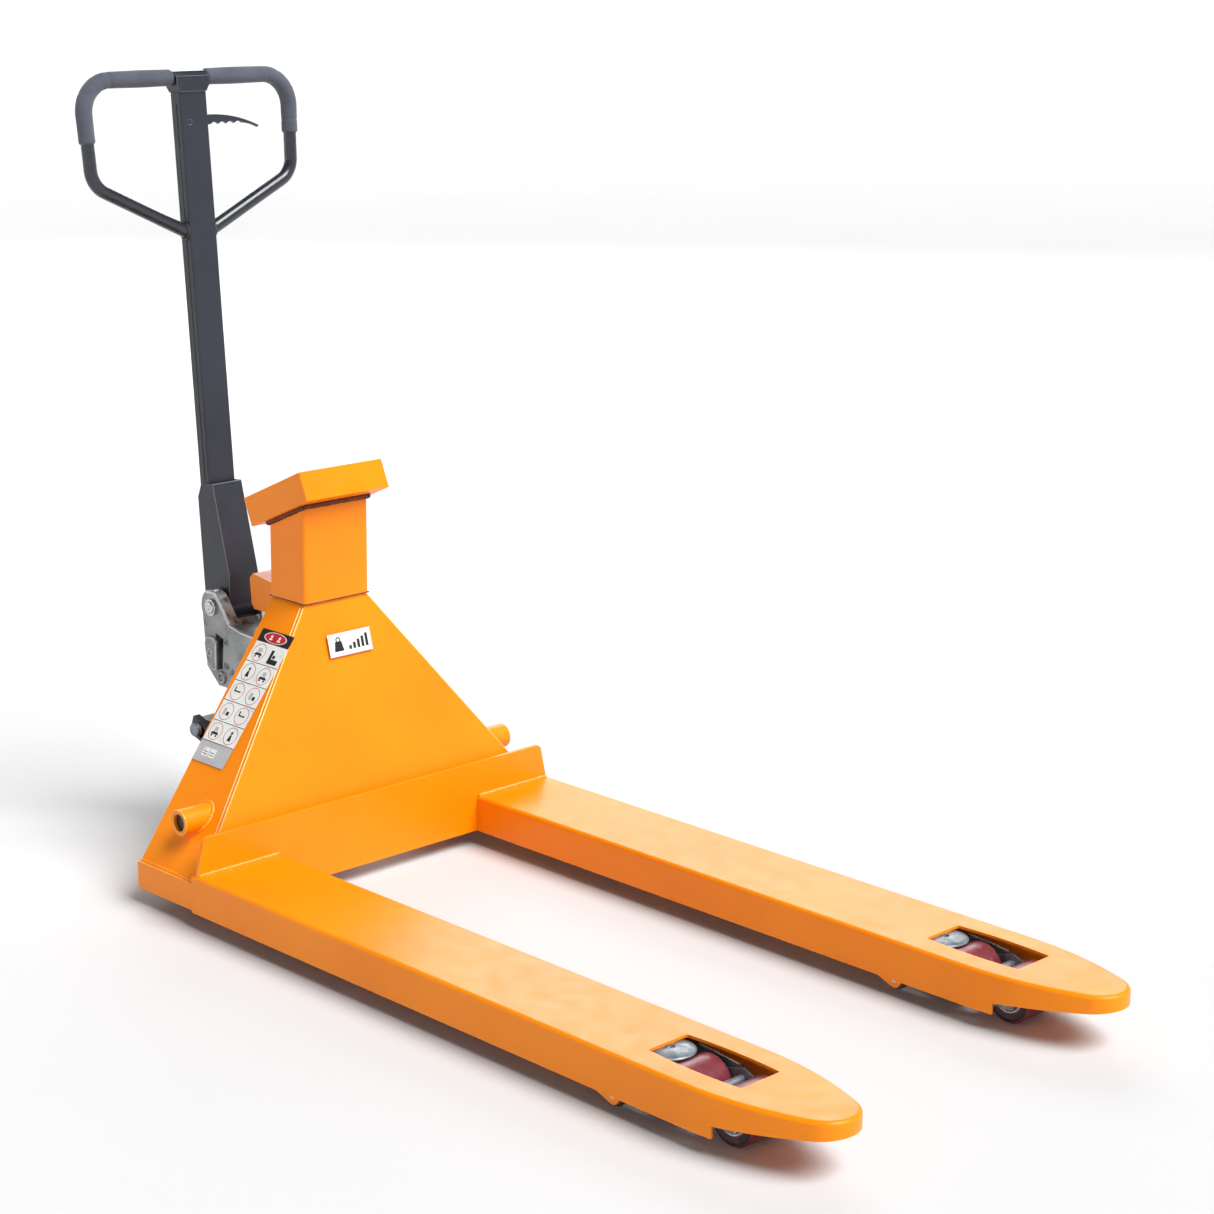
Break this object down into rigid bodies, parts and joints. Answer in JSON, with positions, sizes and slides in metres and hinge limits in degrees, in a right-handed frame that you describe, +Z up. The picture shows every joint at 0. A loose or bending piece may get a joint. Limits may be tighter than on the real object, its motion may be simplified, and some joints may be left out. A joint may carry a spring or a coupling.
{
  "type": "pallet scale",
  "caption": "Hand pallet truck with a built-in weighing scale: twin forks on load cells, A-frame, tilted indicator box, pump, steering wheels and pump handle.",
  "frame": {"origin": "on the floor, in the middle of the footprint", "axes": "+X along the forks to their tips, +Y the operator's left, +Z up"},
  "size_m": [1.6056, 0.685, 1.175],
  "materials": {
    "orange_paint": "gloss powder coat",
    "dark_paint": "satin powder coat",
    "grip_rubber": "matte",
    "black_paint": "satin",
    "galvanised": "zinc plated",
    "bright_steel": "turned",
    "alloy": "milled",
    "red_polyurethane": "satin",
    "dark_polyurethane": "satin",
    "panel_plastic": "fine texture",
    "window": "clear",
    "board": "solder mask",
    "battery_case": "moulded",
    "key_rubber": "matte"
  },
  "bodies": {
    "chassis": {"fork_shell_left": "orange_paint", "fork_shell_right": "orange_paint", "heel_plate": "orange_paint", "load_cells": "alloy", "inner_fork_left": "orange_paint", "inner_fork_right": "orange_paint", "rear_base": "orange_paint", "a_frame_front": "orange_paint", "a_frame_side_left": "orange_paint", "a_frame_side_right": "orange_paint", "column": "orange_paint", "lift_head": "orange_paint", "piston_rod": "bright_steel", "rocker_bosses": "orange_paint", "fork_pins": "bright_steel", "indicator_housing": "orange_paint", "indicator_panel": "panel_plastic", "display_window": "window", "circuit_board": "board", "battery": "battery_case", "panel_screws": "bright_steel"},
    "rocker": {"rocker": "black_paint"},
    "carrier": {"carrier": "black_paint"},
    "pump": {"pump_casting": "galvanised", "pivot_pin": "bright_steel", "steer_axle": "bright_steel", "plunger_spring": "bright_steel"},
    "plunger": {"plunger": "bright_steel"},
    "valve_lever": {"valve_lever": "bright_steel"},
    "wheel_left": {"wheel_hub_left": "bright_steel", "wheel_tyre_left": "dark_polyurethane"},
    "wheel_right": {"wheel_hub_right": "bright_steel", "wheel_tyre_right": "dark_polyurethane"},
    "handle": {"handle_sleeve": "dark_paint", "handle_shaft": "dark_paint", "lever_pin": "bright_steel", "handle_loop": "dark_paint", "grips": "grip_rubber", "handle_cap": "dark_paint", "cam_roller": "bright_steel"},
    "release_lever": {"release_lever": "dark_paint"},
    "release_rod": {"release_rod": "bright_steel"},
    "push_rod_left": {"push_rod_left": "galvanised"},
    "yoke_left": {"yoke_left": "galvanised"},
    "bogie_left": {"bogie_left": "galvanised"},
    "load_roller_rear_left": {"load_roller_rear_left": "red_polyurethane"},
    "load_roller_front_left": {"load_roller_front_left": "red_polyurethane"},
    "entry_roller_outer_left": {"entry_roller_outer_left": "dark_polyurethane"},
    "entry_roller_inner_left": {"entry_roller_inner_left": "dark_polyurethane"},
    "push_rod_right": {"push_rod_right": "galvanised"},
    "yoke_right": {"yoke_right": "galvanised"},
    "bogie_right": {"bogie_right": "galvanised"},
    "load_roller_rear_right": {"load_roller_rear_right": "red_polyurethane"},
    "load_roller_front_right": {"load_roller_front_right": "red_polyurethane"},
    "entry_roller_outer_right": {"entry_roller_outer_right": "dark_polyurethane"},
    "entry_roller_inner_right": {"entry_roller_inner_right": "dark_polyurethane"},
    "key_1": {"key_1": "key_rubber"},
    "key_2": {"key_2": "key_rubber"},
    "key_3": {"key_3": "key_rubber"},
    "key_4": {"key_4": "key_rubber"}
  },
  "joints": [
    {"name": "lift", "type": "slide", "parent": "chassis", "child": "carrier", "axis": [0, 0, -1], "range_m": [0, 0.115]},
    {"name": "rocker_turn", "type": "hinge", "parent": "chassis", "child": "rocker", "pos_m": [-0.423, 0, 0.136], "axis": [0, -1, 0], "range_deg": [0, 34.34]},
    {"name": "steer", "type": "hinge", "parent": "carrier", "child": "pump", "pos_m": [-0.609, 0, 0.2], "axis": [0, 0, 1], "range_deg": [-90, 90]},
    {"name": "wheel_spin_left", "type": "hinge", "parent": "pump", "child": "wheel_left", "pos_m": [-0.609, 0.048, 0.09], "axis": [0, 1, 0], "continuous": true},
    {"name": "wheel_spin_right", "type": "hinge", "parent": "pump", "child": "wheel_right", "pos_m": [-0.609, -0.048, 0.09], "axis": [0, 1, 0], "continuous": true},
    {"name": "handle_tilt", "type": "hinge", "parent": "pump", "child": "handle", "pos_m": [-0.694, 0, 0.358], "axis": [0, -1, 0], "range_deg": [0, 75], "stiffness_Nm_per_rad": 90, "springref_deg": -22.92},
    {"name": "plunger_slide", "type": "slide", "parent": "pump", "child": "plunger", "axis": [0, 0, -1], "range_m": [0, 0.04637], "deforming": ["plunger_spring"]},
    {"name": "release_lever_turn", "type": "hinge", "parent": "handle", "child": "release_lever", "pos_m": [-0.78191, -0.01, 1.09423], "axis": [0.9965, 0, 0.0837], "range_deg": [-10, 12], "stiffness_Nm_per_rad": 2},
    {"name": "release_rod_slide", "type": "slide", "parent": "handle", "child": "release_rod", "axis": [-0.0837, 0, 0.9965], "range_m": [-0.0035, 0.0042]},
    {"name": "valve_lever_turn", "type": "hinge", "parent": "pump", "child": "valve_lever", "pos_m": [-0.668, 0.012, 0.3], "axis": [0, 1, 0], "range_deg": [-8, 10]},
    {"name": "push_rod_slide_left", "type": "slide", "parent": "chassis", "child": "push_rod_left", "axis": [1, 0, 0], "range_m": [0, 0.02643]},
    {"name": "yoke_turn_left", "type": "hinge", "parent": "chassis", "child": "yoke_left", "pos_m": [0.465, 0.2675, 0.034], "axis": [0, 1, 0], "range_deg": [0, 54.01]},
    {"name": "bogie_turn_left", "type": "hinge", "parent": "yoke_left", "child": "bogie_left", "pos_m": [0.599, 0.2675, 0.05], "axis": [0, 1, 0], "range_deg": [-54.01, 0]},
    {"name": "load_roller_rear_left_spin", "type": "hinge", "parent": "bogie_left", "child": "load_roller_rear_left", "pos_m": [0.553, 0.2675, 0.035], "axis": [0, 1, 0], "continuous": true},
    {"name": "load_roller_front_left_spin", "type": "hinge", "parent": "bogie_left", "child": "load_roller_front_left", "pos_m": [0.645, 0.2675, 0.035], "axis": [0, 1, 0], "continuous": true},
    {"name": "entry_roller_outer_left_spin", "type": "hinge", "parent": "chassis", "child": "entry_roller_outer_left", "pos_m": [0.484, 0.32725, 0.023], "axis": [0, 1, 0], "continuous": true},
    {"name": "entry_roller_inner_left_spin", "type": "hinge", "parent": "chassis", "child": "entry_roller_inner_left", "pos_m": [0.484, 0.20775, 0.023], "axis": [0, 1, 0], "continuous": true},
    {"name": "push_rod_slide_right", "type": "slide", "parent": "chassis", "child": "push_rod_right", "axis": [1, 0, 0], "range_m": [0, 0.02643]},
    {"name": "yoke_turn_right", "type": "hinge", "parent": "chassis", "child": "yoke_right", "pos_m": [0.465, -0.2675, 0.034], "axis": [0, 1, 0], "range_deg": [0, 54.01]},
    {"name": "bogie_turn_right", "type": "hinge", "parent": "yoke_right", "child": "bogie_right", "pos_m": [0.599, -0.2675, 0.05], "axis": [0, 1, 0], "range_deg": [-54.01, 0]},
    {"name": "load_roller_rear_right_spin", "type": "hinge", "parent": "bogie_right", "child": "load_roller_rear_right", "pos_m": [0.553, -0.2675, 0.035], "axis": [0, 1, 0], "continuous": true},
    {"name": "load_roller_front_right_spin", "type": "hinge", "parent": "bogie_right", "child": "load_roller_front_right", "pos_m": [0.645, -0.2675, 0.035], "axis": [0, 1, 0], "continuous": true},
    {"name": "entry_roller_outer_right_spin", "type": "hinge", "parent": "chassis", "child": "entry_roller_outer_right", "pos_m": [0.484, -0.32725, 0.023], "axis": [0, 1, 0], "continuous": true},
    {"name": "entry_roller_inner_right_spin", "type": "hinge", "parent": "chassis", "child": "entry_roller_inner_right", "pos_m": [0.484, -0.20775, 0.023], "axis": [0, 1, 0], "continuous": true},
    {"name": "key_1_press", "type": "slide", "parent": "chassis", "child": "key_1", "axis": [0.4083, 0, -0.9128], "range_m": [0, 0.0012], "stiffness_N_per_m": 400},
    {"name": "key_2_press", "type": "slide", "parent": "chassis", "child": "key_2", "axis": [0.4083, 0, -0.9128], "range_m": [0, 0.0012], "stiffness_N_per_m": 400},
    {"name": "key_3_press", "type": "slide", "parent": "chassis", "child": "key_3", "axis": [0.4083, 0, -0.9128], "range_m": [0, 0.0012], "stiffness_N_per_m": 400},
    {"name": "key_4_press", "type": "slide", "parent": "chassis", "child": "key_4", "axis": [0.4083, 0, -0.9128], "range_m": [0, 0.0012], "stiffness_N_per_m": 400}
  ],
  "couplings": [
    {"joint": "rocker_turn", "follows": "lift", "rad_per_m": 5.2104},
    {"joint": "plunger_slide", "follows": "handle_tilt", "m_per_rad": 0.035345},
    {"joint": "release_rod_slide", "follows": "release_lever_turn", "m_per_rad": 0.018},
    {"joint": "valve_lever_turn", "follows": "release_lever_turn", "ratio": 0.7},
    {"joint": "push_rod_slide_left", "follows": "lift", "ratio": 0.22896},
    {"joint": "yoke_turn_left", "follows": "lift", "rad_per_m": 8.1951},
    {"joint": "bogie_turn_left", "follows": "lift", "rad_per_m": -8.1951},
    {"joint": "push_rod_slide_right", "follows": "lift", "ratio": 0.22896},
    {"joint": "yoke_turn_right", "follows": "lift", "rad_per_m": 8.1951},
    {"joint": "bogie_turn_right", "follows": "lift", "rad_per_m": -8.1951}
  ]
}
